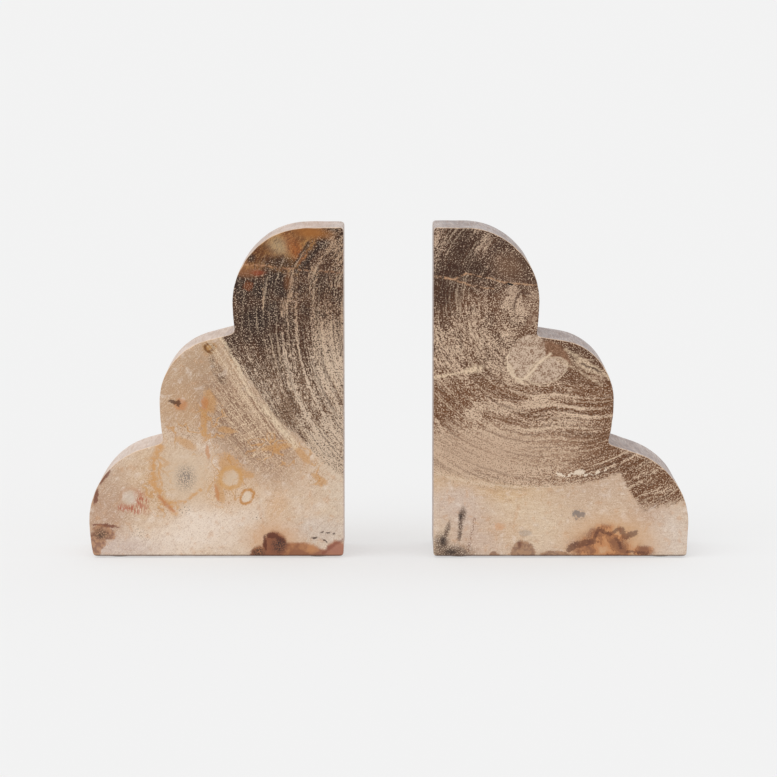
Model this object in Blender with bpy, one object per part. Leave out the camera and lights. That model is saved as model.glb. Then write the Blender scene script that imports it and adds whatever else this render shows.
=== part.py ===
"""A pair of stone book ends: two slabs of petrified wood with stepped, scalloped outlines.

Each slab is one solid piece of stone on four thin felt pads. The row of books runs along X and
stands in the gap between the two upright inner faces. +Z is up, +Y is the depth of the slabs, and
the origin is on the table under the middle of the pair. Units are metres.
"""

import math

import bmesh
import bpy

# Driving dimensions
BOOK_GAP = 0.045          # between the upright inner faces
FRONT_Y = -0.031          # both polished front faces lie in this plane
LEFT_THICKNESS = 0.054    # the slabs are sawn by hand, so they differ a little
RIGHT_THICKNESS = 0.062
STONE_HEIGHT = 0.165      # base of the stone to its flat top
ARRIS_WIDTH = 0.0008      # the softened edge round every face
ARRIS_SEGMENTS = 2

PAD_RADIUS = 0.006
PAD_THICKNESS = 0.0006
PAD_GAP = 0.0003          # clearance between a pad and the stone above it
PAD_SIDES = 24
PAD_INSET_ENDS = 0.013    # pad centre in from the inner face and from the base's outer end
PAD_INSET_FACES = 0.011   # pad centre in from the front and back faces
STONE_BASE_Z = PAD_THICKNESS + PAD_GAP

ARC_STEP = math.radians(5)
NOTCH_SEGMENTS = 3

# Each slab's outline is three lobes, top to bottom: how far out from the inner face and how high
# above the stone's base the centre lies, the radius of its shoulder, and the radius of the flatter
# side below its outermost point.
LEFT_LOBES = (
    (0.0180, 0.1275, 0.0375, 0.086),
    (0.0607, 0.0780, 0.0315, 0.102),
    (0.0905, 0.0185, 0.0370, 0.098),
)
RIGHT_LOBES = (
    (0.0155, 0.1275, 0.0375, 0.100),
    (0.0601, 0.0790, 0.0300, 0.096),
    (0.0906, 0.0163, 0.0373, 0.200),
)
# How high the two notches between the lobes are, and the radius of the saw's curve in them
LEFT_NOTCHES = (0.1122, 0.0570)
RIGHT_NOTCHES = (0.1107, 0.0566)
LEFT_NOTCH_CURVE = 0.0022
RIGHT_NOTCH_CURVE = 0.0010

STONE_COLOURS = {"left_block": (0.42, 0.27, 0.16, 1), "right_block": (0.36, 0.23, 0.14, 1)}
STONE_ROUGHNESS = 0.55
FELT_COLOUR = (0.09, 0.075, 0.06, 1)
FELT_ROUGHNESS = 0.95


def clear_scene():
    for obj in list(bpy.data.objects):
        bpy.data.objects.remove(obj, do_unlink=True)


def make_material(name, colour, roughness):
    material = bpy.data.materials.new(name)
    material.use_nodes = True
    shader = material.node_tree.nodes["Principled BSDF"]
    shader.inputs["Base Color"].default_value = colour
    shader.inputs["Roughness"].default_value = roughness
    shader.inputs["Metallic"].default_value = 0.0
    return material


def add_object(name, bm, material):
    mesh = bpy.data.meshes.new(name)
    bm.to_mesh(mesh)
    bm.free()
    mesh.materials.append(material)
    mesh.shade_smooth()
    mesh.set_sharp_from_angle(angle=math.radians(30))
    obj = bpy.data.objects.new(name, mesh)
    bpy.context.scene.collection.objects.link(obj)
    return obj


def arc(centre, radius, start, end):
    """Points from one angle to another about a centre, both ends included."""
    steps = max(1, math.ceil(abs(end - start) / ARC_STEP))
    points = []
    for i in range(steps + 1):
        angle = start + (end - start) * i / steps
        points.append((
            centre[0] + radius * math.cos(angle),
            centre[1] + radius * math.sin(angle),
        ))
    return points


def shoulder_start(notch, centre, radius):
    """The angle at which a straight line from the notch above meets a lobe's shoulder smoothly."""
    across = notch[0] - centre[0]
    up = notch[1] - centre[1]
    return math.atan2(up, across) - math.acos(radius / math.hypot(across, up))


def slab_outline(lobes, notch_heights):
    """The slab's outline from the top of its inner face, out over the lobes to its base.

    Returns the points and the places in that list of the two notches.
    """
    points = [(0.0, STONE_HEIGHT)]
    notches = []
    start = math.pi / 2
    ends = list(notch_heights) + [0.0]
    for (out, up, radius, side_radius), end_height in zip(lobes, ends):
        points += arc((out, up), radius, start, 0.0)
        side_centre = (out + radius - side_radius, up)
        side_end = math.asin((end_height - up) / side_radius)
        points += arc(side_centre, side_radius, 0.0, side_end)[1:]
        if end_height > 0.0:
            notches.append(len(points) - 1)
            below = lobes[len(notches)]
            start = shoulder_start(points[-1], below[:2], below[2])
    points.append((0.0, 0.0))
    return points, notches


def make_slab(name, side, lobes, notch_heights, notch_curve, thickness):
    """One scalloped slab. side is -1 for the left slab, whose lobes step down towards -X."""
    outline, notches = slab_outline(lobes, notch_heights)
    inner_x = side * BOOK_GAP / 2
    bm = bmesh.new()
    front = [bm.verts.new((inner_x + side * out, FRONT_Y, up)) for out, up in outline]
    face = bm.faces.new(front)
    extruded = bmesh.ops.extrude_face_region(bm, geom=[face])["geom"]
    back = [v for v in extruded if isinstance(v, bmesh.types.BMVert)]
    bmesh.ops.translate(bm, verts=back, vec=(0, thickness, 0))
    bm.faces.ensure_lookup_table()
    corners = {front[i] for i in notches}
    notch_edges = [
        edge for edge in bm.edges
        if (edge.verts[0] in corners) != (edge.verts[1] in corners)
        and abs(edge.verts[0].co.y - edge.verts[1].co.y) > thickness / 2
    ]
    bmesh.ops.bevel(
        bm,
        geom=notch_edges,
        offset=notch_curve,
        segments=NOTCH_SEGMENTS,
        affect="EDGES",
        profile=0.5,
    )
    bmesh.ops.recalc_face_normals(bm, faces=bm.faces)
    material = make_material(name + "_stone", STONE_COLOURS[name], STONE_ROUGHNESS)
    slab = add_object(name, bm, material)
    slab.location.z = STONE_BASE_Z
    soften = slab.modifiers.new("arris", "BEVEL")
    soften.width = ARRIS_WIDTH
    soften.segments = ARRIS_SEGMENTS
    soften.limit_method = "ANGLE"
    soften.angle_limit = math.radians(50)
    return slab


def make_pads(prefix, side, base_length, thickness, material):
    """Four round felt pads under one slab, in from its corners."""
    inner_x = side * (BOOK_GAP / 2 + PAD_INSET_ENDS)
    outer_x = side * (BOOK_GAP / 2 + base_length - PAD_INSET_ENDS)
    front_y = FRONT_Y + PAD_INSET_FACES
    back_y = FRONT_Y + thickness - PAD_INSET_FACES
    for end, x in (("inner", inner_x), ("outer", outer_x)):
        for row, y in (("front", front_y), ("back", back_y)):
            bm = bmesh.new()
            bmesh.ops.create_cone(
                bm,
                cap_ends=True,
                segments=PAD_SIDES,
                radius1=PAD_RADIUS,
                radius2=PAD_RADIUS,
                depth=PAD_THICKNESS,
            )
            pad = add_object(f"{prefix}_felt_pad_{end}_{row}", bm, material)
            pad.location = (x, y, PAD_THICKNESS / 2)


def base_length(lobes):
    """How long the stone's base is, from the inner face to where the lowest side meets it."""
    out, up, radius, side_radius = lobes[-1]
    return out + radius - side_radius + math.sqrt(side_radius ** 2 - up ** 2)


def main():
    clear_scene()
    felt = make_material("felt", FELT_COLOUR, FELT_ROUGHNESS)
    make_slab("left_block", -1, LEFT_LOBES, LEFT_NOTCHES, LEFT_NOTCH_CURVE, LEFT_THICKNESS)
    make_pads("left", -1, base_length(LEFT_LOBES), LEFT_THICKNESS, felt)
    make_slab("right_block", 1, RIGHT_LOBES, RIGHT_NOTCHES, RIGHT_NOTCH_CURVE, RIGHT_THICKNESS)
    make_pads("right", 1, base_length(RIGHT_LOBES), RIGHT_THICKNESS, felt)


main()
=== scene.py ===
"""A pair of petrified wood book ends: hand-sawn slabs whose faces are slices across a fossil log.

The slabs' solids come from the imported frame. Each visible slab is a finer mesh with the same
outline, whose arrises are worn and chipped and whose sawn sides are uneven. Its stone is painted
by nodes in millimetres: out from the inner face, up from the stone's base and back from the front
face. The pattern runs through the slab along the log, so the sides show it as long grain.
"""

import math

import bmesh
import bpy
import numpy as np
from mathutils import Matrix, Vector, noise
from mathutils.geometry import delaunay_2d_cdt


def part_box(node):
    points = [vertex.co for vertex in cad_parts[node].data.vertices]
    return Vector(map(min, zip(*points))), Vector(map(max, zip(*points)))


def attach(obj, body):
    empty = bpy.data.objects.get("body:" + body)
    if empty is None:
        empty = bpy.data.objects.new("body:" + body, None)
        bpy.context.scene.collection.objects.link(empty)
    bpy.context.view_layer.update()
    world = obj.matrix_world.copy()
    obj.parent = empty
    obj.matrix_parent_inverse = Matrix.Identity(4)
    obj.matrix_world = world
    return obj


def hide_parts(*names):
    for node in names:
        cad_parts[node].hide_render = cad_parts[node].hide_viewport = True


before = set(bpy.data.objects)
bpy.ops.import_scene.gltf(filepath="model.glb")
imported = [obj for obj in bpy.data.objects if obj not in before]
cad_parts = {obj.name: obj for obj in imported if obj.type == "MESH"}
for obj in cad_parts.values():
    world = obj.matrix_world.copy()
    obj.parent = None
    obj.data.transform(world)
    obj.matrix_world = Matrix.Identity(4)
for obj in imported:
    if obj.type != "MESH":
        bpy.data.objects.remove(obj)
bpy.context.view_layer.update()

MM = 0.001

# Camera: straight in front of the pair and a little above it
CAMERA_DISTANCE = 2.2          # from the polished front faces
CAMERA_HEIGHT = 0.304
AIM_HEIGHT = 0.0854
FRAME_WIDTH = 0.3885           # how wide the view is at the aim point
SENSOR_WIDTH = 36.0            # millimetres

# Stone mesh
SAME_PLACE = 1e-5              # points of the CAD solid this close count as one
WHOLE_WIDTH = 2e-5             # a ring that spans the CAD solid to within this is its outline
RING_STEP = 0.00075            # between points round a slab's outline
DEPTH_STEP = 0.0022            # between rings along a slab's depth
CORNER_BLEND = 1.3             # how many outline points the corners are eased over
FACE_STEP = 0.0017             # between points on the polished faces
FACE_MARGIN = 0.0010           # inner points keep this far from the face's edge
ARRIS_STEPS = 4
ARRIS_SIZE = 0.00042
ARRIS_WEAR = 0.00022
WEAR_LENGTH = 0.004            # size of the wear's patches
FINE_WEAR_LENGTH = 0.0015
SIDE_WAVE = 0.00030            # how uneven the hand-ground sides are
SIDE_RIDGE = 0.00007
WAVE_LENGTH = 0.022
RIDGE_LENGTH = 0.0035
FACE_WAVE = 0.00004            # how far the polished faces are from flat
FACE_WAVE_LENGTH = 0.018
FLAT_FROM = 0.6                # how squarely a side faces down or inwards to be a flat one
FLAT_RANGE = 0.35
FLAT_WAVE = 0.1                # the base and inner face are this much as uneven as the sides
# Knocks on the front arris: out from the inner face, up from the base, width and depth in mm
LEFT_CHIPS = ((50.5, 146.2, 2.4, 0.6), (76.5, 105.3, 2.0, 0.5), (125.3, 31.2, 2.6, 0.7),
              (84.0, 0.0, 2.8, 0.5), (0.0, 61.0, 2.0, 0.4))
RIGHT_CHIPS = ((42.0, 154.0, 2.0, 0.5), (86.0, 94.0, 2.6, 0.7), (127.0, 24.0, 2.2, 0.5),
               (38.0, 0.0, 2.4, 0.5), (0.0, 118.0, 1.8, 0.4))

# Felt pads
PAD_SEGMENTS = 96
PAD_RINGS = (0.25, 0.5, 0.7, 0.85)
PAD_RIM_STEPS = 6
PAD_BULGE = 0.00022            # how far the rounded rim stands out
PAD_FUZZ = 0.00007             # how ragged the rim is
PAD_FUZZ_LENGTH = 0.0006
PAD_SAG_LENGTH = 0.0009
PAD_SAG = 0.00003              # how uneven the top is


# ---------------------------------------------------------------- stone meshes

def cad_outline(node):
    """A slab's outline seen from the front, as an ordered loop of (x, z) points."""
    mesh = node.data
    points = np.array([v.co[:] for v in mesh.vertices])
    keys = [tuple(k) for k in np.round(points / SAME_PLACE).astype(int)]
    place = dict(zip(keys, points))
    low = points.min(axis=0)
    high = points.max(axis=0)
    for level in sorted({k[1] for k in keys}):
        ring = np.array([place[k] for k in set(keys) if k[1] == level])
        spans = ring.max(axis=0) - ring.min(axis=0)
        short = np.abs(spans - (high - low))
        if short[0] < WHOLE_WIDTH and short[2] < WHOLE_WIDTH:
            break
    beside = {}
    for edge in mesh.edges:
        a, b = (keys[i] for i in edge.vertices)
        if a != b and a[1] == level and b[1] == level:
            beside.setdefault(a, set()).add(b)
            beside.setdefault(b, set()).add(a)
    start = min(beside)
    loop = [start]
    following = min(beside[start])
    while following != start:
        loop.append(following)
        following = next(k for k in beside[following] if k != loop[-2])
    return np.array([place[k][[0, 2]] for k in loop])


def resampled(loop, step):
    """The same closed loop with evenly spaced points, anticlockwise seen from the front."""
    area = np.sum(loop[:, 0] * np.roll(loop[:, 1], -1) - loop[:, 1] * np.roll(loop[:, 0], -1))
    if area < 0:
        loop = loop[::-1]
    closed = np.vstack([loop, loop[:1]])
    along = np.concatenate([[0], np.cumsum(np.linalg.norm(np.diff(closed, axis=0), axis=1))])
    count = int(round(along[-1] / step))
    at = np.linspace(0, along[-1], count, endpoint=False)
    return np.stack([np.interp(at, along, closed[:, i]) for i in (0, 1)], axis=1)


def eased(loop, width):
    """The loop with its corners slightly rounded, by a running average."""
    reach = int(width * 3)
    weights = np.exp(-0.5 * (np.arange(-reach, reach + 1) / width) ** 2)
    weights /= weights.sum()
    return sum(w * np.roll(loop, -k, axis=0) for k, w in zip(range(-reach, reach + 1), weights))


def outward(loop):
    """Unit normals of an anticlockwise loop, pointing out of it."""
    tangent = np.roll(loop, -1, axis=0) - np.roll(loop, 1, axis=0)
    normal = np.stack([tangent[:, 1], -tangent[:, 0]], axis=1)
    return normal / np.linalg.norm(normal, axis=1)[:, None]


def wander(x, y, z, size, seed):
    """Smooth noise from -1 to 1 whose features are about size across."""
    return noise.noise(Vector((x / size + seed, y / size - seed, z / size + 2 * seed)))


def inside(points, loop):
    """Which of the points are inside a closed loop."""
    result = np.zeros(len(points), bool)
    following = np.roll(loop, -1, axis=0)
    for (x0, z0), (x1, z1) in zip(loop, following):
        crosses = (z0 > points[:, 1]) != (z1 > points[:, 1])
        if z0 != z1:
            at = x0 + (points[:, 1] - z0) * (x1 - x0) / (z1 - z0)
            result ^= crosses & (points[:, 0] < at)
    return result


def face_points(loop, step, margin):
    """Evenly spread points inside a loop and clear of it."""
    low = loop.min(axis=0)
    high = loop.max(axis=0)
    row_step = step * math.sqrt(3) / 2
    points = []
    for row, z in enumerate(np.arange(low[1], high[1], row_step)):
        shift = step / 2 * (row % 2)
        points += [(x, z) for x in np.arange(low[0] + shift, high[0], step)]
    points = np.array(points)
    points = points[inside(points, loop)]
    nearest = np.full(len(points), np.inf)
    for p in loop:
        nearest = np.minimum(nearest, np.hypot(points[:, 0] - p[0], points[:, 1] - p[1]))
    return points[nearest > margin]


def fill_face(loop, step, margin):
    """Triangles that fill a loop: all the points, the loop's first, and the triangles."""
    inner = face_points(loop, step, margin)
    points = [Vector(p) for p in np.vstack([loop, inner])]
    edges = [(i, (i + 1) % len(loop)) for i in range(len(loop))]
    out = delaunay_2d_cdt(points, edges, [], 1, 1e-7)
    places, triangles, came_from = out[0], out[2], out[3]
    order = [came[0] for came in came_from]
    return places, triangles, order


class SlabShape:
    """One slab's outline, and how its stone strays from it: worn arrises, chips and waves.

    side is -1 for the left slab, whose lobes step down towards -X. end is 0 at the front face and
    1 at the back one.
    """

    def __init__(self, cad_name, side, chips, seed):
        low, high = (Vector(corner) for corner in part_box(cad_name))
        inner_x = high.x if side < 0 else low.x
        self.low_y = low.y
        self.high_y = high.y
        self.side = side
        self.seed = seed
        self.knocks = [
            (inner_x + side * out * MM, low.z + up * MM, width * MM, depth * MM)
            for out, up, width, depth in chips
        ]
        loop = resampled(cad_outline(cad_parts[cad_name]), RING_STEP)
        self.outline = eased(loop, CORNER_BLEND)
        self.normals = outward(self.outline)

    def arris(self, i, end):
        """How far the arris reaches in over the face and back over the side at an outline point."""
        x, z = self.outline[i]
        wear = ARRIS_SIZE + ARRIS_WEAR * wander(x, end * 0.1, z, WEAR_LENGTH, self.seed)
        wear += 0.5 * ARRIS_WEAR * wander(x, end * 0.1, z, FINE_WEAR_LENGTH, self.seed + 3)
        over_face = wear
        over_side = wear
        for chip_x, chip_z, chip_width, chip_depth in (self.knocks if end == 0 else ()):
            near = 1 - (math.hypot(x - chip_x, z - chip_z) / chip_width) ** 2
            if near > 0:
                over_face += chip_depth * near * 0.7
                over_side += chip_depth * near
        return over_face, over_side

    def side_offset(self, i, y):
        """How far the side stands out from the outline at a depth."""
        x, z = self.outline[i]
        nx, nz = self.normals[i]
        flatness = (max(-nz, -self.side * nx) - FLAT_FROM) / FLAT_RANGE
        flatness = min(max(flatness, 0.0), 1.0)
        hollow = SIDE_WAVE * wander(x, y * 0.6, z, WAVE_LENGTH, self.seed + 7)
        ridge = SIDE_RIDGE * wander(x, y * 0.15, z, RIDGE_LENGTH, self.seed + 11)
        return (hollow + ridge) * (1 - (1 - FLAT_WAVE) * flatness)

    def relief(self, x, z, end):
        """How far a polished face is from flat."""
        return FACE_WAVE * wander(x, end * 0.3, z, FACE_WAVE_LENGTH, self.seed + 17)

    def side_point(self, i, y):
        (x, z), (nx, nz) = self.outline[i], self.normals[i]
        push = self.side_offset(i, y)
        return (x + nx * push, y, z + nz * push)

    def arris_point(self, i, end, turn):
        """A point of the rounded arris. turn is 0 at the face and a right angle at the side."""
        (x, z), (nx, nz) = self.outline[i], self.normals[i]
        over_face, over_side = self.arris(i, end)
        inset = over_face * (1 - math.sin(turn))
        back = over_side * (1 - math.cos(turn))
        side_y = self.low_y + back if end == 0 else self.high_y - back
        push = self.side_offset(i, side_y) * math.sin(turn) - inset
        face_y = self.relief(x, z, end) * math.cos(turn)
        return (x + nx * push, side_y + face_y, z + nz * push)

    def rings(self):
        """The points round the slab, ring by ring from the front face to the back one."""
        around = range(len(self.outline))
        turns = [math.pi / 2 * k / ARRIS_STEPS for k in range(ARRIS_STEPS + 1)]
        depths = np.arange(self.low_y + 2 * DEPTH_STEP, self.high_y - 2 * DEPTH_STEP, DEPTH_STEP)
        rings = [[self.arris_point(i, 0, turn) for i in around] for turn in turns]
        rings += [[self.side_point(i, y) for i in around] for y in depths]
        rings += [[self.arris_point(i, 1, turn) for i in around] for turn in reversed(turns)]
        return rings


def side_faces(count, rings):
    """Faces between neighbouring rings of count points each."""
    faces = []
    for r in range(rings - 1):
        for i in range(count):
            j = (i + 1) % count
            faces.append((r * count + i, (r + 1) * count + i, (r + 1) * count + j, r * count + j))
    return faces


def close_face(shape, verts, faces, first, end):
    """Adds a polished face inside the ring of points that begins at first."""
    count = len(shape.outline)
    rim = np.array(verts[first:first + count])[:, [0, 2]]
    places, triangles, order = fill_face(rim, FACE_STEP, FACE_MARGIN)
    face_y = shape.high_y if end else shape.low_y
    number = {}
    for place, came in enumerate(order):
        if came < count:
            number[place] = first + came
        else:
            x, z = places[place]
            number[place] = len(verts)
            verts.append((x, face_y + shape.relief(x, z, end), z))
    faces.extend(tuple(number[k] for k in triangle) for triangle in triangles)


def make_slab(name, cad_name, side, chips, seed):
    shape = SlabShape(cad_name, side, chips, seed)
    count = len(shape.outline)
    rings = shape.rings()
    verts = [point for ring in rings for point in ring]
    faces = side_faces(count, len(rings))
    close_face(shape, verts, faces, 0, 0)
    close_face(shape, verts, faces, (len(rings) - 1) * count, 1)
    mesh = bpy.data.meshes.new(name)
    mesh.from_pydata(verts, [], faces)
    bm = bmesh.new()
    bm.from_mesh(mesh)
    bmesh.ops.recalc_face_normals(bm, faces=bm.faces)
    bm.to_mesh(mesh)
    bm.free()
    mesh.shade_smooth()
    slab = bpy.data.objects.new(name, mesh)
    bpy.context.scene.collection.objects.link(slab)
    return slab


# ---------------------------------------------------------------- felt pads

def make_pad(name, cad_name, seed):
    """A round of felt with a soft, slightly ragged rim."""
    low, high = (Vector(corner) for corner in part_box(cad_name))
    middle = (low + high) / 2
    radius = (high.x - low.x) / 2 - PAD_FUZZ
    half = (high.z - low.z) / 2
    profile = [(radius * share, -half) for share in PAD_RINGS]
    for k in range(PAD_RIM_STEPS + 1):
        angle = math.pi * (k / PAD_RIM_STEPS - 0.5)
        profile.append((radius - PAD_BULGE * (1 - math.cos(angle)), half * math.sin(angle)))
    profile += [(radius * share, half) for share in reversed(PAD_RINGS)]
    verts = [(middle.x, middle.y, low.z)]
    for ring_radius, height in profile:
        for i in range(PAD_SEGMENTS):
            angle = 2 * math.pi * i / PAD_SEGMENTS
            x = ring_radius * math.cos(angle)
            y = ring_radius * math.sin(angle)
            ragged = 1 + PAD_FUZZ / radius * wander(x, y, height, PAD_FUZZ_LENGTH, seed)
            sag = PAD_SAG * (wander(x, y, 0.0, PAD_SAG_LENGTH, seed + 1) - 1) * (height > 0)
            verts.append((middle.x + x * ragged, middle.y + y * ragged, middle.z + height + sag))
    verts.append((middle.x, middle.y, high.z - PAD_SAG))
    last = len(verts) - 1
    top_ring = last - PAD_SEGMENTS
    faces = []
    for i in range(PAD_SEGMENTS):
        j = (i + 1) % PAD_SEGMENTS
        faces.append((0, 1 + j, 1 + i))
        faces.append((last, top_ring + i, top_ring + j))
        for r in range(len(profile) - 1):
            ring = 1 + r * PAD_SEGMENTS
            above = ring + PAD_SEGMENTS
            faces.append((ring + i, ring + j, above + j, above + i))
    mesh = bpy.data.meshes.new(name)
    mesh.from_pydata(verts, [], faces)
    mesh.shade_smooth()
    pad = bpy.data.objects.new(name, mesh)
    bpy.context.scene.collection.objects.link(pad)
    return pad


# ---------------------------------------------------------------- painting with nodes

class Value:
    """A number worked out by nodes at every point of the surface; arithmetic adds nodes."""

    def __init__(self, paint, socket):
        self.paint = paint
        self.socket = socket

    def __add__(self, other):
        return self.paint.math("ADD", self, other)

    def __sub__(self, other):
        return self.paint.math("SUBTRACT", self, other)

    def __rsub__(self, other):
        return self.paint.math("SUBTRACT", other, self)

    def __mul__(self, other):
        return self.paint.math("MULTIPLY", self, other)

    def __abs__(self):
        return self.paint.math("ABSOLUTE", self)

    def at_least(self, other):
        return self.paint.math("MAXIMUM", self, other)

    def at_most(self, other):
        return self.paint.math("MINIMUM", self, other)

    __radd__ = __add__
    __rmul__ = __mul__


def as_linear(colour):
    """A screen colour, 0 to 255, as Blender's linear colour. A Value stays as it is."""
    def linear(c):
        c /= 255
        return c / 12.92 if c <= 0.04045 else ((c + 0.055) / 1.055) ** 2.4
    if isinstance(colour, Value):
        return colour
    return tuple(linear(c) for c in colour) + (1.0,)


class Place:
    """Where a point of the surface is, in millimetres, as three numbers and as one vector."""

    def __init__(self, paint, out, up, deep):
        self.out = out
        self.up = up
        self.deep = deep
        self.vector = paint.add("ShaderNodeCombineXYZ", enumerate((out, up, deep)))


class Paint:
    """One material, and the nodes that work out how it looks.

    Places are kept as plain numbers: Cycles then works the nodes out in the order they are made,
    which is what lets a graph this long fit in its memory.
    """

    def __init__(self, name):
        self.material = bpy.data.materials.new(name)
        self.material.use_nodes = True
        self.nodes = self.material.node_tree.nodes
        self.links = self.material.node_tree.links
        self.shader = self.nodes["Principled BSDF"]

    def add(self, kind, inputs=(), output=0, **settings):
        """A node with its inputs, given by name or number, and one of its outputs."""
        node = self.nodes.new(kind)
        for key, setting in settings.items():
            setattr(node, key, setting)
        for key, given in dict(inputs).items():
            self.feed(node.inputs[key], given)
        return Value(self, node.outputs[output])

    def feed(self, socket, given):
        if isinstance(given, Value):
            self.links.new(given.socket, socket)
        else:
            socket.default_value = given

    def split(self, output):
        """The three numbers of a texture coordinate: output 1 is the normal, 3 the place."""
        where = self.add("ShaderNodeTexCoord", output=output)
        node = self.add("ShaderNodeSeparateXYZ", {0: where}).socket.node
        return [Value(self, socket) for socket in node.outputs]

    def math(self, operation, *values):
        return self.add("ShaderNodeMath", enumerate(values), operation=operation)

    def combine(self, value, scale, offset):
        return self.math("MULTIPLY_ADD", value, scale, offset)

    def rise(self, value, low, high):
        """0 below low and 1 above high, or the reverse when low is the larger."""
        inputs = {"Value": value, "From Min": low, "From Max": high}
        return self.add("ShaderNodeMapRange", inputs, interpolation_type="SMOOTHSTEP")

    def mix(self, under, over, amount):
        """One colour laid over another. Each is a screen colour or a Value."""
        inputs = {"Factor": amount, 6: as_linear(under), 7: as_linear(over)}
        return self.add("ShaderNodeMix", inputs, 2, data_type="RGBA")

    def noise(self, place, size, detail=1.0, seed=0.0):
        """Smooth noise about 0.5 with features of the given sizes."""
        scaled = self.add("ShaderNodeMapping", {
            "Vector": place.vector,
            "Location": (seed, seed * 0.7, seed * 1.3),
            "Scale": tuple(1 / s for s in size),
        })
        inputs = {"Vector": scaled, "Scale": 1.0, "Detail": detail}
        return self.add("ShaderNodeTexNoise", inputs)

    def scatter(self, place, size, amount, seed):
        """The place moved about by noise, for natural edges."""
        moved = []
        for lane, value in ((0.0, place.out), (50.0, place.up)):
            shift = self.noise(place, (size, size, size), 1.5, seed + lane)
            moved.append(value + (shift - 0.5) * amount)
        return Place(self, moved[0], moved[1], place.deep)

    def turned(self, place, centre, radii, angle):
        """The place measured from a centre along two turned axes, in radii."""
        cos = math.cos(angle)
        sin = math.sin(angle)
        found = []
        for along_out, along_up, radius in ((cos, sin, radii[0]), (-sin, cos, radii[1])):
            value = -(centre[0] * along_out + centre[1] * along_up) / radius
            for part, share in ((place.out, along_out), (place.up, along_up)):
                if abs(share) > 1e-6:
                    value = self.combine(part, share / radius, value)
            found.append(value)
        return found

    def length(self, x, y):
        return self.math("SQRT", self.combine(x, x, y * y))

    def from_point(self, place, centre):
        return self.length(*self.turned(place, centre, (1.0, 1.0), 0.0))

    def closeness(self, place, centre, radii, tilt, reach):
        """1 at a point, falling evenly to 0 at reach radii from it."""
        local = self.add("ShaderNodeMapping", {
            "Vector": place.vector,
            "Location": (centre[0], centre[1], 0.0),
            "Rotation": (0.0, 0.0, math.radians(tilt)),
            "Scale": (radii[0] * reach, radii[1] * reach, 1e6),
        }, vector_type="TEXTURE")
        return self.add("ShaderNodeTexGradient", {0: local}, 1, gradient_type="SPHERICAL")

    def spot(self, place, centre, radii, tilt=0.0, edge=0.35):
        reach = 1 + edge
        close = self.closeness(place, centre, radii, tilt, reach)
        return self.rise(close, 0.0, 2 * edge / reach)

    def spots(self, place, edge, listed):
        """The union of several spots, each (out, up, across, high, tilt)."""
        total = None
        for out, up, across, high, tilt in listed:
            one = self.spot(place, (out, up), (across, high), tilt, edge)
            total = one if total is None else total.at_least(one)
        return total

    def ring(self, place, centre, radii, tilt, width, edge=0.6):
        """A loop of the given width as a share of the radii."""
        reach = 1.05 + width * (1 + edge)
        off = abs(self.closeness(place, centre, radii, tilt, reach) - (1 - 1 / reach))
        return self.rise(off, width * (1 + edge) / reach, width * (1 - edge) / reach)

    def line(self, place, points, width, edge=0.5):
        """A line through several points; width is half its breadth."""
        nearest = None
        for (x0, y0), (x1, y1) in zip(points, points[1:]):
            half = math.hypot(x1 - x0, y1 - y0) / 2
            middle = ((x0 + x1) / 2, (y0 + y1) / 2)
            angle = math.atan2(y1 - y0, x1 - x0)
            x, y = self.turned(place, middle, (1.0, 1.0), angle)
            off = self.length((abs(x) - half).at_least(0.0), y)
            nearest = off if nearest is None else nearest.at_most(off)
        return self.rise(nearest, width * (1 + edge), width * (1 - edge))

    def lines(self, place, listed):
        """The union of several lines, each (width, edge, strength, points)."""
        total = None
        for width, edge, strength, points in listed:
            one = self.line(place, points, width, edge)
            if strength < 1.0:
                one = one * strength
            total = one if total is None else total.at_least(one)
        return total


class Coat:
    """A colour that is built up in layers."""

    def __init__(self, paint, colour):
        self.paint = paint
        self.colour = colour

    def lay(self, over, amount):
        """A colour laid on by an amount from 0 to 1."""
        self.colour = self.paint.mix(self.colour, over, amount)

    def wash(self, place, over, centre, radii, tilt=0.0, amount=1.0):
        """A colour laid softly over a round area."""
        close = self.paint.closeness(place, centre, radii, tilt, 1.45)
        self.lay(over, self.paint.rise(close, 0.0, 0.86) * amount)

    def washes(self, place, listed):
        """Several washes, each (colour, centre, radii, tilt, amount)."""
        for over, centre, radii, tilt, amount in listed:
            self.wash(place, over, centre, radii, tilt, amount)


# ---------------------------------------------------------------- what both stones share

CREAM = (212, 186, 160)
PALE = (225, 205, 187)
OCHRE = (198, 146, 88)
ORANGE = (190, 120, 66)
GRAIN_DRIFT = (0.05, -0.04)    # how far the pattern leans for every millimetre of depth


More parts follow.
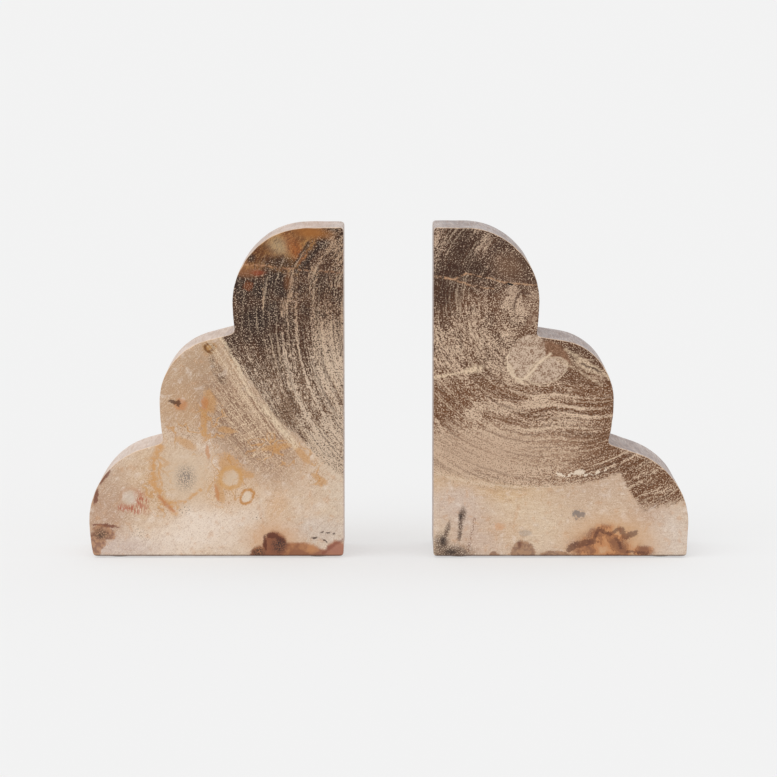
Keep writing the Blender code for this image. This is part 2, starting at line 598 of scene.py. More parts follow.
class Stone:
    """The painting of one slab, and the coordinates it is painted in, in millimetres."""

    def __init__(self, name, cad_name, inner_x, side):
        self.paint = Paint(name)
        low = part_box(cad_name)[0]
        scale = 1 / MM
        x, y, z = self.paint.split(3)
        # out from the inner face, up from the base, back from the front face
        self.out = (x - inner_x) * (side * scale)
        self.up = (z - low[2]) * scale
        self.back = (y - low[1]) * scale
        leant = Place(
            self.paint,
            self.out + self.back * GRAIN_DRIFT[0],
            self.up + self.back * GRAIN_DRIFT[1],
            self.back * 0.06,
        )
        jittered = self.paint.scatter(leant, 0.6, 1, 3)
        self.near = self.paint.scatter(jittered, 2.4, 1.7, 5)
        self.loose = self.paint.scatter(self.near, 9, 6, 8)
        self.grit = self.paint.noise(leant, (0.58, 0.58, 1), 1, 4)
        self.dots = self.paint.noise(leant, (0.54, 0.54, 1), 0, 6)
        self.cloud = self.paint.noise(leant, (7, 7, 9), 3, 9)
        self.patch = self.paint.noise(leant, (2.2, 2.2, 4), 2, 14)

    def flecks(self, amount, softness=0.045):
        """How pale each fleck is, when the given share of the surface is pale."""
        level = (amount - 0.5) * 0.34 + self.grain
        return self.paint.rise(level, 0.5 - softness, 0.5 + softness)

    def flecked(self, dark, fleck, pale):
        """Wood of dark, middling and pale flecks."""
        p = self.paint
        middling = p.mix(dark, fleck, 0.32)
        colour = p.mix(dark, middling, self.flecks(pale + 0.12))
        return Coat(p, p.mix(colour, fleck, self.flecks(pale)))

    def grainy(self, mask):
        """A soft mask made crisp and speckled at its edges."""
        return self.paint.rise(mask + (self.grit - 0.5) * 1.3, 0.3, 0.7)

    def paler(self, pale, place, listed):
        """More pale flecks in round areas, or fewer where a share is below 0: (share, spots)."""
        for share, spots in listed:
            pale = pale + self.paint.spots(place, 0.9, spots) * share
        return pale

    def pepper(self, coat, dark, pale):
        """Separate dark and pale grains."""
        coat.lay(dark, self.paint.rise(self.dots, 0.41, 0.3) * 0.9)
        coat.lay(pale, self.paint.rise(self.dots, 0.61, 0.71) * 0.85)

    def streak(self, coat, fine_rings, dark, pale):
        """Fine dark and pale lines along the growth rings."""
        coat.lay(dark, self.paint.rise(fine_rings, 0.44, 0.32) * 0.5)
        coat.lay(pale, self.paint.rise(fine_rings, 0.58, 0.7) * 0.45)

    def polish(self, coat, scratches):
        """The fine hatching and grit of the polished sapwood."""
        mottle = self.paint.noise(self.loose, (3.6, 3.6, 6), 2, 16)
        for over, value, none, full, amount in (
            ((200, 150, 108), mottle, 0.56, 0.72, 0.35),
            ((238, 224, 212), mottle, 0.44, 0.28, 0.35),
            ((246, 230, 208), scratches, 0.56, 0.72, 0.24),
            ((170, 128, 98), scratches, 0.44, 0.3, 0.18),
            ((150, 110, 82), self.patch, 0.5, 0.26, 0.22),
            ((152, 112, 84), self.grit, 0.46, 0.28, 0.34),
            ((244, 226, 204), self.grit, 0.54, 0.74, 0.42),
        ):
            coat.lay(over, self.paint.rise(value, none, full) * amount)


# ---------------------------------------------------------------- the left stone

LEFT_PITH = (-73.5, 121.25)    # centre of the log's growth rings, off the inner face
LEFT_BOUNDARY = (-108.5, 188.75)
LEFT_SAPWOOD = (
    ((189, 158, 129), (78, 90), (34, 30), 0, 1),
    ((176, 146, 117), (66, 96), (16, 14), 0, 0.6),
    ((190, 152, 116), (78, 74), (16, 12), 0, 0.7),
    ((160, 127, 103), (48, 68), (32, 18), 52, 1),
    ((152, 120, 96), (48, 62), (18, 14), 40, 0.7),
    ((196, 162, 134), (36, 50), (26, 16), 0, 0.8),
    ((208, 180, 152), (12, 50), (16, 22), 0, 0.8),
    ((232, 214, 197), (78, 13), (34, 14), -12, 1),
    ((190, 160, 136), (118, 28), (17, 20), 0, 1),
    ((187, 152, 128), (122, 18), (12, 16), 0, 0.7),
    ((206, 186, 174), (112, 4), (22, 7), 0, 0.9),
    ((206, 172, 136), (94, 35), (16, 22), 0, 0.8),
    ((208, 186, 164), (80, 40), (12, 13), 0, 0.9),
    ((212, 176, 138), (60, 34), (20, 12), 0, 0.7),
    ((212, 192, 170), (3, 32), (9, 26), 0, 0.8),
    ((205, 188, 174), (12, 12), (16, 8), 0, 0.8),
    ((208, 164, 120), (33, 26), (6, 9), 10, 0.6),
)
LEFT_WEB = (
    (59, 38, 10, 14, 0), (67, 66, 9, 12, 0), (32, 54, 17, 7, 8), (15, 42, 8, 5, 40),
    (80, 60, 12, 6, 30), (92, 36, 8, 16, 0),
)
LEFT_OCHRE = (
    (59, 44, 3, 7, -20), (56, 47, 2.6, 6, -40), (62, 33, 2, 7, -10), (33, 55, 8, 1.8, -8),
    (20.5, 51, 1.8, 6, -40), (12, 39, 5, 1.6, 32), (58.5, 63.5, 5, 1.6, 8),
    (70, 67, 1.6, 7.5, -4), (67, 78, 3, 6, -12), (79, 57, 6, 2.2, 28), (47.5, 41, 2.5, 1.8, 0),
    (52, 43, 4, 2, 30),
)
LEFT_AMBER = (
    (69.5, 77, 1.8, 3.2, 0), (81.5, 76.5, 3.2, 2.8, 0), (68, 52.5, 1, 4, -12),
    (63.5, 32, 0.9, 4.4, -8),
)
LEFT_KNOT_ARC = (
    (1.7, 0.9, 1, ((92, 55), (95.4, 46), (95, 36), (91, 28), (84.5, 22.5))),
    (0.9, 0.9, 0.9, ((90, 25.5), (80, 27.5), (72, 33.5))),
)
LEFT_RIM = ((120, 39.5, 1, 5, 40), (124, 30, 1.1, 3.6, 12), (119.5, 15.4, 6.5, 0.8, 6))
LEFT_WEDGE = ((120, 12, 6, 3.4, 20), (123.4, 8, 4.4, 5, 0), (125.4, 2.6, 3.4, 6, 0))
LEFT_RUST = (
    (34.5, 3, 6.5, 9.5, 0), (24, 1.5, 13, 5.5, 0), (42.5, 0, 4.6, 5, 0), (13, 0, 9, 3.8, 0),
    (2.5, 1, 6, 7, -30),
)
LEFT_RUST_PEAK = ((36, 10.4, 3.4, 1.5, 0), (32.4, 9, 3.4, 1.2, 35), (39.4, 6.4, 0.9, 4, -8))
LEFT_PORES = (
    (11, 12, 1, 0.45, 0), (7.8, 11.6, 1, 0.5, 0), (4.8, 11.2, 0.7, 0.5, 0),
    (14.5, 9.3, 1.5, 0.5, -10), (9.5, 7.6, 1.6, 0.45, 35),
)
LEFT_SPECKS = ((102, 11, 4, 3, 30), (79.4, 23, 4, 2.5, 0), (78, 62.3, 4, 2.4, 0), (44, 20, 3, 2, 0))
# Where the heartwood is paler, or darker for a share below 0
LEFT_PALER_LOW = ((0.24, ((0, 86, 18, 24, 0),)), (0.4, ((2, 54, 22, 14, 0),)))
LEFT_PALER_MIDDLE = (
    (0.14, ((10, 92, 15, 9, 0),)),
    (-0.14, ((37, 103, 9, 9, 0),)),
    (0.14, ((22, 103, 6, 8, 0),)),
    (0.22, ((28, 126, 3, 9, 0), (7, 112, 14, 8, 0))),
)
LEFT_PALER_TOP = ((0.26, ((4.5, 155, 4, 11, -30), (20, 151, 1.6, 12, -34))),)
LEFT_DARKER = ((-0.26, ((16, 66, 2.6, 14, 35), (26, 75, 4.6, 10, 35), (20, 96, 3.4, 16, 6))),)
LEFT_ARCS = (                  # ring, its breadth and core, heights of its faint and full ends, share
    (104.6, 1.2, 0.3, 118, 108, 0.5),
    (97.2, 1.1, 0.3, 140, 120, 0.55),
    (92, 0.8, 0.2, 118, 112, 0.3),
)
LEFT_BLOTCHES = (
    (31.5, 147.6, 9, 3.4, 0), (33.6, 139.4, 6, 5.6, 0), (31.5, 133.6, 5, 3, 0),
    (51, 134, 3.6, 9, -8), (35, 121.8, 4, 6, -10), (10.6, 157.4, 2.8, 3.2, 20),
    (46, 149.8, 2.2, 2, 0), (44, 118, 9, 8, 0), (53, 140, 3.6, 7, 0), (42, 134, 5, 5, 0),
)
LEFT_LEANING = (
    (1.3, 0.8, 1, ((22.5, 144), (9.5, 158.2))),
    (1, 0.8, 1, ((25.5, 145), (17.5, 157))),
)
LEFT_CRACK = (
    (0.5, 0.9, 1, ((53, 146.2), (44, 146.6), (35, 145.6))),
    (0.35, 0.9, 0.6, ((35, 145.6), (20, 143.8), (0, 142.6))),
)
LEFT_BRIGHT = (
    (1.4, 0.9, 1, ((40, 75), (31.5, 64.5), (23.8, 55.4))),
    (0.9, 0.9, 0.6, ((54.5, 99), (48.5, 84), (40, 75))),
)


def left_rings(stone):
    """Growth rings, opening out below and leaning at the top."""
    p = stone.paint
    near = stone.near
    span = p.from_point(near, LEFT_PITH)
    rings = span + (span - 108).at_least(0) * (110 - near.up).at_least(0) * 0.022
    leaning = (near.up - 135).at_least(0)
    stone.rings = rings + leaning * leaning * 0.01
    along = p.math("ARCTAN2", near.up - LEFT_PITH[1], near.out - LEFT_PITH[0]) * 100
    stone.ringed = Place(p, stone.rings, along, near.deep)
    stone.stripes = p.noise(stone.ringed, (1.6, 40, 9), 2, 1)
    stone.bands = p.noise(stone.ringed, (6, 55, 9), 2, 2)
    stone.grain = p.noise(stone.ringed, (0.46, 1.5, 2), 1, 5) * 0.64 + stone.grit * 0.36
    stone.rays = p.noise(stone.ringed, (14, 0.6, 5), 1, 6)


def left_sapwood(stone):
    """Cream, with tan and grey areas."""
    p = stone.paint
    near = stone.near
    coat = Coat(p, p.mix(CREAM, PALE, p.rise(stone.cloud, 0.35, 0.65) * 0.5))
    coat.washes(stone.loose, LEFT_SAPWOOD)
    slanted = Place(
        p, near.out * 0.64 - near.up * 0.77, near.out * 0.77 + near.up * 0.64, near.deep
    )
    stone.polish(coat, p.noise(slanted, (9, 0.55, 4), 1, 17))
    return coat


def left_grid(stone, coat):
    """The grey-brown area beside the heartwood, with its grid of fine pale lines."""
    p = stone.paint
    area = p.spot(stone.loose, (47, 66), (27, 14), 52, 0.5)
    grey_flecks = stone.flecks(0.45 + (stone.stripes - 0.5) * 1.2)
    grey_brown = p.mix((136, 104, 82), (204, 174, 146), grey_flecks)
    coat.lay(grey_brown, area * 0.85)
    stone.fine_rings = p.noise(stone.ringed, (0.75, 30, 9), 1, 12)
    grid = p.rise(stone.fine_rings, 0.58, 0.66).at_least(p.rise(stone.rays, 0.59, 0.67))
    coat.lay((230, 204, 172), grid * area * p.rise(stone.grit, 0.34, 0.54) * 0.8)


def left_ochre(stone, coat):
    """Ochre and orange staining in the sapwood."""
    p = stone.paint
    near = stone.near
    web = abs(p.noise(stone.loose, (9, 9, 12), 2, 11) - 0.5)
    web = p.rise(web, 0.035, 0.008)
    web_area = p.spots(stone.loose, 0.5, LEFT_WEB)
    coat.lay(OCHRE, stone.grainy(web * web_area) * 0.65)
    coat.lay(OCHRE, stone.grainy(p.spots(near, 0.8, LEFT_OCHRE)) * 0.6)
    coat.lay(ORANGE, stone.grainy(p.spots(near, 0.8, LEFT_AMBER)) * 0.6)
    stained = web_area * p.rise(stone.grit, 0.46, 0.3)
    coat.lay((156, 104, 58), stained * 0.5)
    knot_core = p.spots(near, 0.6, ((85, 77.8, 2.6, 1.1, 14), (82.6, 77.2, 1.2, 1.6, 0)))
    coat.lay((74, 44, 30), stone.grainy(knot_core) * 0.8)


def left_knots(stone, coat):
    """Small branch knots in the sapwood, each with its rings and stains."""
    p = stone.paint
    near = stone.near

    # The largest, with a grey heart and an ochre arc round it
    coat.wash(near, (212, 186, 158), (80, 40), (14, 15), 0, 0.7)
    arc = p.lines(stone.loose, LEFT_KNOT_ARC)
    arc = arc.at_least(p.line(near, ((91.6, 47), (92.4, 41), (91, 36)), 0.6, 0.9) * 0.8)
    coat.lay((202, 146, 84), arc * p.rise(stone.patch, 0.3, 0.54) * 0.75)
    coat.lay((176, 96, 58), p.line(near, ((92.4, 30), (88, 25), (85, 22.6)), 0.8, 0.9) * 0.45)
    grey = p.spot(near, (79, 39.5), (4, 5), 0, 0.9) * p.rise(stone.grit, 0.62, 0.4)
    coat.lay((102, 98, 100), grey * 0.8)

    # Two pale ones with ochre rings
    coat.lay((214, 196, 174), p.spot(near, (56.5, 39.5), (3.6, 3.8), 0, 0.7) * 0.6)
    coat.lay((202, 150, 84), p.ring(near, (56.5, 39.5), (5.2, 5.2), 0, 0.2, 0.8) * 0.6)
    coat.lay((226, 210, 190), p.spot(near, (48.5, 30.1), (3, 2), -50, 0.3) * 0.5)
    loop = p.ring(near, (48.5, 30.1), (3.9, 2.9), -50, 0.2, 0.8)
    coat.lay((188, 128, 62), loop * p.rise(stone.patch, 0.26, 0.5) * 0.85)

    # One near the outer end, with a red crescent of short strokes
    coat.lay((212, 200, 188), p.spot(near, (106.8, 29.4), (3.2, 3.4), 0, 0.7) * 0.55)
    coat.lay((186, 142, 112), p.ring(near, (107, 29.2), (4.8, 5), 0, 0.16, 0.9) * 0.45)
    crescent = p.spots(
        near, 0.6, ((101, 27.5, 3, 5.4, -20), (105, 23.6, 5, 2.2, 10), (111, 24.4, 2.4, 2, 0))
    )
    crescent = crescent * p.rise(p.noise(near, (0.7, 2.6, 3), 1, 13), 0.42, 0.58)
    coat.lay((172, 84, 58), crescent * 0.75)

    # One near the top of the middle lobe, with a grey-brown tail
    coat.lay((172, 124, 66), p.spot(near, (67.2, 105), (3.2, 3), 0, 0.5) * 0.9)
    coat.lay((112, 70, 34), p.ring(near, (67.2, 105), (2.2, 2.1), 0, 0.3, 0.6) * 0.85)
    tail = p.lines(near, (
        (1.3, 0.7, 1, ((66.6, 101), (63.6, 94.5))),
        (2.2, 0.6, 1, ((63.6, 94.5), (60.4, 88.5))),
    ))
    coat.lay((112, 86, 66), tail * p.rise(stone.grain, 0.6, 0.42) * 0.85)


def left_iron(stone, coat):
    """Iron staining at the outer rim and along the base."""
    p = stone.paint
    near = stone.near

    # The rim and the outer end of the base
    coat.lay((112, 58, 40), stone.grainy(p.spots(near, 0.7, LEFT_RIM)) * 0.8)
    wedge = p.spots(near, 0.35, LEFT_WEDGE)
    wedge_colour = p.mix((176, 128, 94), (132, 84, 58), p.rise(stone.patch, 0.42, 0.6))
    coat.lay(wedge_colour, stone.grainy(wedge) * 0.8)
    shade = p.spot(near, (121.8, 11.2), (3.2, 2.6), 0, 0.7) * p.rise(stone.grit, 0.68, 0.44)
    coat.lay((74, 58, 46), shade * 0.85)

    # The long rust stain towards the inner end
    coat.wash(near, (206, 158, 116), (35, 8), (14, 10), 0, 0.7)
    rust_shape = p.spots(near, 0.16, LEFT_RUST)
    rust = Coat(p, p.mix((186, 128, 84), (140, 84, 54), p.rise(stone.cloud, 0.42, 0.6)))
    rust.wash(near, (124, 70, 50), (36, 7), (9, 9), 0, 0.9)
    rust.wash(near, (164, 106, 88), (3, 3), (9, 7), 0, 0.9)
    coat.lay(rust.colour, rust_shape * 0.92)
    coat.lay((88, 44, 34), stone.grainy(p.spots(near, 0.6, LEFT_RUST_PEAK)) * 0.75)
    grey_core = p.spots(near, 0.6, ((32.2, 5.4, 3.4, 3.6, 20), (43, 1.6, 3, 2.6, 0)))
    coat.lay((58, 46, 42), grey_core * p.rise(stone.grit, 0.64, 0.42) * 0.9)
    coat.lay((120, 62, 48), p.line(near, ((10.5, 1.2), (4.6, 6), (0, 8.4)), 0.8, 0.8) * 0.5)

    # Small dark pores and specks
    coat.lay((72, 52, 44), p.spots(near, 0.6, LEFT_PORES) * 0.9)
    specks = p.spots(stone.loose, 0.6, LEFT_SPECKS) * p.rise(stone.grit, 0.4, 0.3)
    coat.lay((70, 58, 54), specks * 0.8)


def left_pale_share(stone):
    """How much of the heartwood's surface is pale flecks."""
    p = stone.paint
    near = stone.near
    loose = stone.loose
    pale = 0.12 + (stone.stripes - 0.5) * 0.8 + (stone.bands - 0.5) * 0.7 + (stone.patch - 0.5) * 0.5
    pale = pale + p.spot(loose, (0, 128), (13, 46), 0, 0.9) * 0.2
    pale = stone.paler(pale, loose, LEFT_PALER_LOW)
    pale = pale + p.rise(near.up, 116, 84) * 0.2
    pale = stone.paler(pale, loose, LEFT_PALER_MIDDLE)
    pale = stone.paler(pale, near, LEFT_PALER_TOP)
    for ring, breadth, core, faint, full, share in LEFT_ARCS:
        on_ring = p.rise(abs(stone.rings - ring), breadth, core)
        pale = pale + on_ring * p.rise(near.up, faint, full) * share
    pale = pale + p.line(near, ((40, 141), (40.2, 124)), 0.6, 0.8) * 0.55
    pale = pale + p.line(near, ((26, 143), (26.8, 131), (30.5, 122)), 1.4, 0.8) * 0.5
    rows = p.rise(stone.stripes, 0.5, 0.62) * p.spot(near, (8, 105), (14, 9), 0, 0.5)
    pale = pale + rows * 0.3
    pale = stone.paler(pale, near, LEFT_DARKER)
    blotches = p.spots(near, 0.7, LEFT_BLOTCHES)
    stone.blotches = blotches.at_least(p.lines(near, LEFT_LEANING))
    return pale - stone.blotches * 0.42


def left_heartwood(stone, pale):
    """Dark brown with pale flecks along the rings."""
    p = stone.paint
    up = stone.near.up
    dark = Coat(p, p.mix((76, 46, 28), (58, 35, 22), p.rise(stone.cloud, 0.42, 0.6)))
    dark.lay((110, 80, 58), p.rise(up, 112, 80))
    dark.lay((38, 26, 20), stone.blotches * 0.8)
    fleck = p.mix((174, 142, 114), (212, 188, 164), p.rise(up, 132, 92))
    wood = stone.flecked(dark.colour, fleck, pale.at_most(0.8))
    stone.pepper(wood, (56, 36, 26), (204, 178, 154))
    stone.streak(wood, stone.fine_rings, (62, 40, 28), (206, 180, 152))
    return wood


def left_cap(stone, wood):
    """The golden and rusty cap of the top lobe, and the crack under it."""
    p = stone.paint
    near = stone.near
    grain = stone.grain
    height = near.up + (stone.bands - 0.5) * 10 + (grain - 0.5) * 12 - 144.5
    cap = p.rise(height, -1.5, 1.5)
    cap = cap * p.rise(near.out + (near.up - 150) * 0.62 + (grain - 0.5) * 18, 16, 23)
    gold = Coat(p, p.mix((164, 116, 66), (128, 82, 46), p.rise(stone.cloud, 0.4, 0.6)))
    gold.wash(near, (168, 140, 106), (31.5, 156), (7, 5), 15)
    gold.wash(near, (152, 88, 42), (22.5, 152), (4, 12), -35)
    gold.wash(near, (98, 54, 24), (43, 152), (6, 9), -40, 0.95)
    gold.lay((62, 36, 24), p.rise(grain, 0.5, 0.36) * 0.55)
    gold.lay((206, 164, 110), p.rise(grain, 0.52, 0.66) * 0.4)
    wood.lay(gold.colour, cap * (1 - stone.blotches * 0.85))
    wood.wash(near, (160, 100, 44), (15, 162.5), (10, 3), 8, 0.8)
    wood.wash(near, (142, 92, 58), (49, 143), (9, 3), 0, 0.75)
    wood.lay((150, 80, 38), stone.grainy(p.spot(near, (47.6, 135.8), (2.4, 2.4), 0, 0.9)) * 0.4)
    wood.wash(near, (146, 62, 36), (42.4, 142.4), (3.6, 1.4), 0, 0.6)
    wood.wash(near, (128, 80, 46), (28, 138), (2, 5), 0, 0.5)
    crack = p.lines(near, LEFT_CRACK)
    wood.lay((190, 142, 106), crack * p.rise(stone.patch, 0.36, 0.56) * 0.8)


def left_boundary(stone, coat, from_edge):
    """Bright lines along the heartwood's edge."""
    p = stone.paint
    bright = p.lines(stone.near, LEFT_BRIGHT) * p.rise(stone.grain, 0.36, 0.54)
    coat.lay((230, 208, 178), bright * 0.8)
    lines = p.rise(stone.stripes, 0.53, 0.62) * p.rise(from_edge, -15, -3)
    lines = lines * p.rise(from_edge, 4, -1) * p.rise(stone.near.up, 50, 62)
    lines = lines * p.rise(stone.grit, 0.36, 0.56)
    coat.lay((226, 202, 172), lines * 0.8)


def left_stone(inner_x):
    """The left slab: dark heartwood at the inner end, and sapwood with knots and stains."""
    stone = Stone("left_petrified_wood", "left_block", inner_x, -1)
    p = stone.paint
    left_rings(stone)
    coat = left_sapwood(stone)
    left_grid(stone, coat)
    left_ochre(stone, coat)
    left_knots(stone, coat)
    left_iron(stone, coat)
    edge_bend = p.rise(stone.near.up, 80, 100) * 2.6
    from_edge = 184 + edge_bend - p.from_point(stone.near, LEFT_BOUNDARY)
    ragged = from_edge + (stone.bands - 0.5) * 7 + (stone.grain - 0.5) * 6
    heart = p.rise(ragged, -1, 1)
    wood = left_heartwood(stone, left_pale_share(stone))
    left_cap(stone, wood)
    coat.lay(wood.colour, heart)
    left_boundary(stone, coat, from_edge)
    return stone, coat


# ---------------------------------------------------------------- the right stone

RIGHT_PITH = (56.5, 128.5)     # centre of the growth rings, beside the top lobe
RIGHT_INNER_PITH = (79, 128.5)
RIGHT_BOUNDARY = (46.8, 188.5)
RIGHT_SAPWOOD = (
    ((210, 174, 130), (34, 34), (44, 10), -6, 0.9),
    ((198, 156, 108), (26, 33), (26, 5), -8, 0.5),
    ((206, 184, 168), (12, 27), (18, 12), 0, 0.9),
    ((198, 172, 156), (24, 12), (16, 14), 0, 0.7),
    ((216, 192, 164), (50, 20), (24, 16), 0, 0.8),
    ((206, 178, 152), (86, 24), (26, 12), 0, 0.8),
    ((196, 168, 144), (84, 36), (34, 10), 8, 0.8),
    ((214, 196, 180), (118, 10), (16, 16), 0, 1),
    ((190, 158, 136), (108, 22), (12, 8), 0, 0.6),
    ((206, 172, 140), (36, 14), (12, 8), 0, 0.5),
)
RIGHT_RUST = ((84, 3, 16, 8, 0), (88, 10, 10, 5.5, 0), (101, 1.5, 9, 3.6, 0))
RIGHT_STROKES = (
    (1.7, 0.6, 1, ((68.3, 3.6), (72.3, 6), (80.3, 7.4))),
    (0.9, 0.8, 1, ((80.3, 7.4), (83, 13.8), (88.3, 11), (93.8, 13.8))),
    (1.4, 0.7, 1, ((93.8, 13.8), (96.4, 9.8), (101.1, 11.8))),
    (1, 0.8, 0.8, ((92, 9), (94.5, 4))),
    (0.9, 0.8, 0.8, ((97, 2.2), (107, 1.4))),
)
RIGHT_MOUNDS = ((45, 1.5, 6.2, 6, 0), (61, 0, 8, 2.7, 0), (30.5, 0, 2.4, 2.2, 0))
RIGHT_DARK_STAINS = (
    (14.4, 20.5, 1.7, 3.8, -8), (13.6, 15.4, 1.2, 3.6, -8), (13.2, 10.5, 1, 3.2, -8),
    (6.4, 11.4, 1.3, 6, -16), (4, 5.4, 3.9, 5.6, 0), (9, 1.4, 10.5, 4, 0),
)
# Where the heartwood is paler, or darker for a share below 0
RIGHT_PALER_TOP = (
    (0.26, ((16, 119, 10, 12, 0), (8, 108, 8, 14, 0))),
    (0.12, ((36, 122, 16, 12, 0),)),
    (0.26, ((2.5, 156, 3.4, 9, 0), (24, 155.5, 4, 7, -30), (44, 130, 8, 8, 0))),
)
RIGHT_PALE_BANDS = ((20.4, 73, 5, 3.4, 24), (35, 75.5, 9, 3.4, -10), (52, 78, 8, 2.6, 10))
RIGHT_PALER_MIDDLE = (
    (0.3, ((34, 102, 9, 14, 40), (76.6, 95.5, 8, 3, -30))),
    (-0.38, ((15, 152, 7, 14, -20), (8, 132, 10, 11, 0))),
    (-0.22, ((10, 78, 12, 12, 0), (25, 118, 9, 24, 0), (37, 103, 8, 7, 0), (14, 143, 17, 7, 0))),
)
RIGHT_PALER_LOW = (
    (-0.3, ((80, 51, 13, 9, 0),)),
    (0.18, ((97, 52, 8, 7, 0), (53, 124, 3, 9, 0), (16, 103, 6, 7, 0), (72, 66, 16, 7, 0))),
)
RIGHT_PALER_WEDGE = (
    (0.4, ((104, 37, 7, 1.6, 14), (113, 33, 6, 1.4, 10), (108, 42, 8, 1.2, 20))),
)
RIGHT_RING_ARCS = (            # ring, its breadth and core, where it is faint and full, share
    (54.2, 1, 0.3, 46, 54, 0.55),
    (49, 0.8, 0.2, 46, 54, 0.5),
    (58.5, 1.6, 0.3, 60, 76, 0.4),
)
RIGHT_WIDE_ARCS = (
    (89.5, 1, 0.3, 76, 86, 0.6),
    (86, 0.7, 0.2, 78, 84, 0.5),
)
RIGHT_BLOTCHES = ((15, 156, 6, 9, -15), (8, 144, 9, 6, 0), (5, 131, 6, 9, 0), (22, 143, 8, 6, 0))
RIGHT_CELL_LINES = (
    (0.6, 0.9, 1, ((43.5, 88), (48.5, 92.4), (53, 97.5), (58.5, 101.8))),
    (0.8, 0.9, 0.8, ((38, 96), (40, 91), (44, 87.6))),
)
RIGHT_VEINS = (
    (0.6, 0.8, 1, ((0, 90.2), (11, 92), (17, 93.4))),
    (1.6, 0.6, 1, ((17, 93.2), (23.4, 94.8))),
    (0.8, 0.9, 0.7, ((66, 104), (77, 97.5), (90, 88.5))),
    (0.7, 0.9, 0.5, ((62, 98.6), (72, 94), (84, 86))),
)
RIGHT_CRACKS = (
    (0.45, 0.9, 1, ((0, 141), (10.5, 139), (16, 142))),
    (0.35, 0.9, 0.75, ((16, 142), (25, 140.5), (35.5, 137.5), (52, 136.4))),
    (0.35, 0.9, 0.7, ((10.5, 138.6), (21.5, 135.4), (30, 134.5))),
)
RIGHT_BROKEN_EDGE = ((62, 41.6), (67, 40.6), (72, 42.2), (77, 40.8), (82, 42.4), (86, 43.8))


def right_rings(stone):
    """Growth rings, whose centre is a little further out for the inner ones."""
    p = stone.paint
    near = stone.near
    stone.wide = p.from_point(near, RIGHT_PITH)
    tight = p.from_point(near, RIGHT_INNER_PITH)
    inner_share = p.rise(near.out, 46, 72) * p.rise(stone.wide, 84, 66)
    stone.rings = stone.wide + (tight - stone.wide) * inner_share
    pith_out, pith_up = RIGHT_PITH
    below = (pith_up - near.up) + (near.out - pith_out)
    beside = (pith_out - near.out) + (pith_up - near.up)
    along = p.math("ARCTAN2", below, beside) * 60
    stone.ringed = Place(p, stone.rings, along, near.deep)
    stone.stripes = p.noise(stone.ringed, (1.7, 30, 9), 2, 21)
    stone.bands = p.noise(stone.ringed, (6.5, 40, 9), 2, 22)
    stone.grain = p.noise(stone.ringed, (0.46, 1.2, 2), 1, 25) * 0.62 + stone.grit * 0.38


def right_sapwood(stone):
    """The pale strip along the base, with small grey and orange spots."""
    p = stone.paint
    near = stone.near
    coat = Coat(p, p.mix((208, 182, 156), (216, 192, 170), p.rise(stone.cloud, 0.35, 0.65) * 0.6))
    coat.washes(stone.loose, RIGHT_SAPWOOD)
    stone.polish(coat, p.noise(near, (7, 0.6, 4), 1, 37))
    grey_eye = p.spot(near, (73, 21), (2.9, 2.7), 0, 0.7) * p.rise(stone.patch, 0.3, 0.55)
    coat.lay((104, 100, 102), stone.grainy(grey_eye) * 0.75)
    coat.lay((140, 134, 132), stone.grainy(p.spot(near, (46, 11.5), (3, 1.4), 0, 0.8)) * 0.35)
    coat.lay((206, 138, 84), stone.grainy(p.spot(near, (33, 15), (2.6, 1.8), 0, 0.9)) * 0.35)
    return coat


def right_rust(stone, coat):
    """The swirled rust stain at the base and the brown mounds beside it."""
    p = stone.paint
    near = stone.near
    coat.wash(near, (206, 162, 120), (90, 8), (24, 13), 0, 0.85)
    area = p.spots(stone.loose, 0.7, RIGHT_RUST)
    swirl = p.noise(stone.loose, (5, 6.5, 9), 3, 31)
    rust = p.mix((190, 128, 82), (128, 76, 50), p.rise(swirl, 0.44, 0.64))
    shape = p.rise(area + (stone.grit - 0.5) * 0.7, 0.15, 0.75)
    coat.lay(rust, shape * p.rise(swirl, 0.26, 0.48) * 0.85)
    coat.lay((96, 56, 42), p.rise(abs(swirl - 0.5), 0.026, 0.006) * area * 0.5)
    strokes = p.lines(near, RIGHT_STROKES) * p.rise(stone.patch, 0.26, 0.46)
    coat.lay((86, 50, 42), stone.grainy(strokes) * 0.62)
    mounds = p.spots(near, 0.3, RIGHT_MOUNDS)
    mound_colour = p.mix((160, 116, 84), (122, 78, 54), p.rise(stone.patch, 0.4, 0.6))
    coat.lay(mound_colour, stone.grainy(mounds) * 0.75)
    coat.lay((100, 52, 38), p.spot(near, (43.5, 6), (1.2, 2), 0, 0.8) * 0.6)


def right_dark_stains(stone, coat):
    """Nearly black streaks at the inner end of the base."""
    p = stone.paint
    near = stone.near
    stains = p.spots(near, 0.55, RIGHT_DARK_STAINS)
    coat.lay((88, 66, 54), stains * p.rise(stone.grit, 0.76, 0.48) * 0.85)
    thin = p.line(near, ((20.8, 19.4), (19.6, 12), (17.4, 3)), 0.5, 0.9)
    coat.lay((128, 88, 70), thin * p.rise(stone.grit, 0.58, 0.42) * 0.85)
    cores = p.spots(near, 0.8, ((13.6, 20, 0.8, 1.6, 0), (5, 7.4, 1.2, 2.2, 0), (9, 2, 3, 1.2, 0)))
    coat.lay((46, 34, 32), cores * 0.8)


def right_wedge(stone):
    """Where the brown runs down into the lowest lobe."""
    p = stone.paint
    near = stone.near
    ragged_out = near.out + (stone.grain - 0.5) * 8
    wedge = p.rise(ragged_out - (52 - near.up) * 0.55 - 88, -0.6, 0.9)
    lower_edge = near.up - 22 - (near.out - 96) * 0.1
    lower_edge = lower_edge + (stone.stripes - 0.5) * 14 + (stone.grain - 0.5) * 16
    return wedge * p.rise(lower_edge, 0, 5)


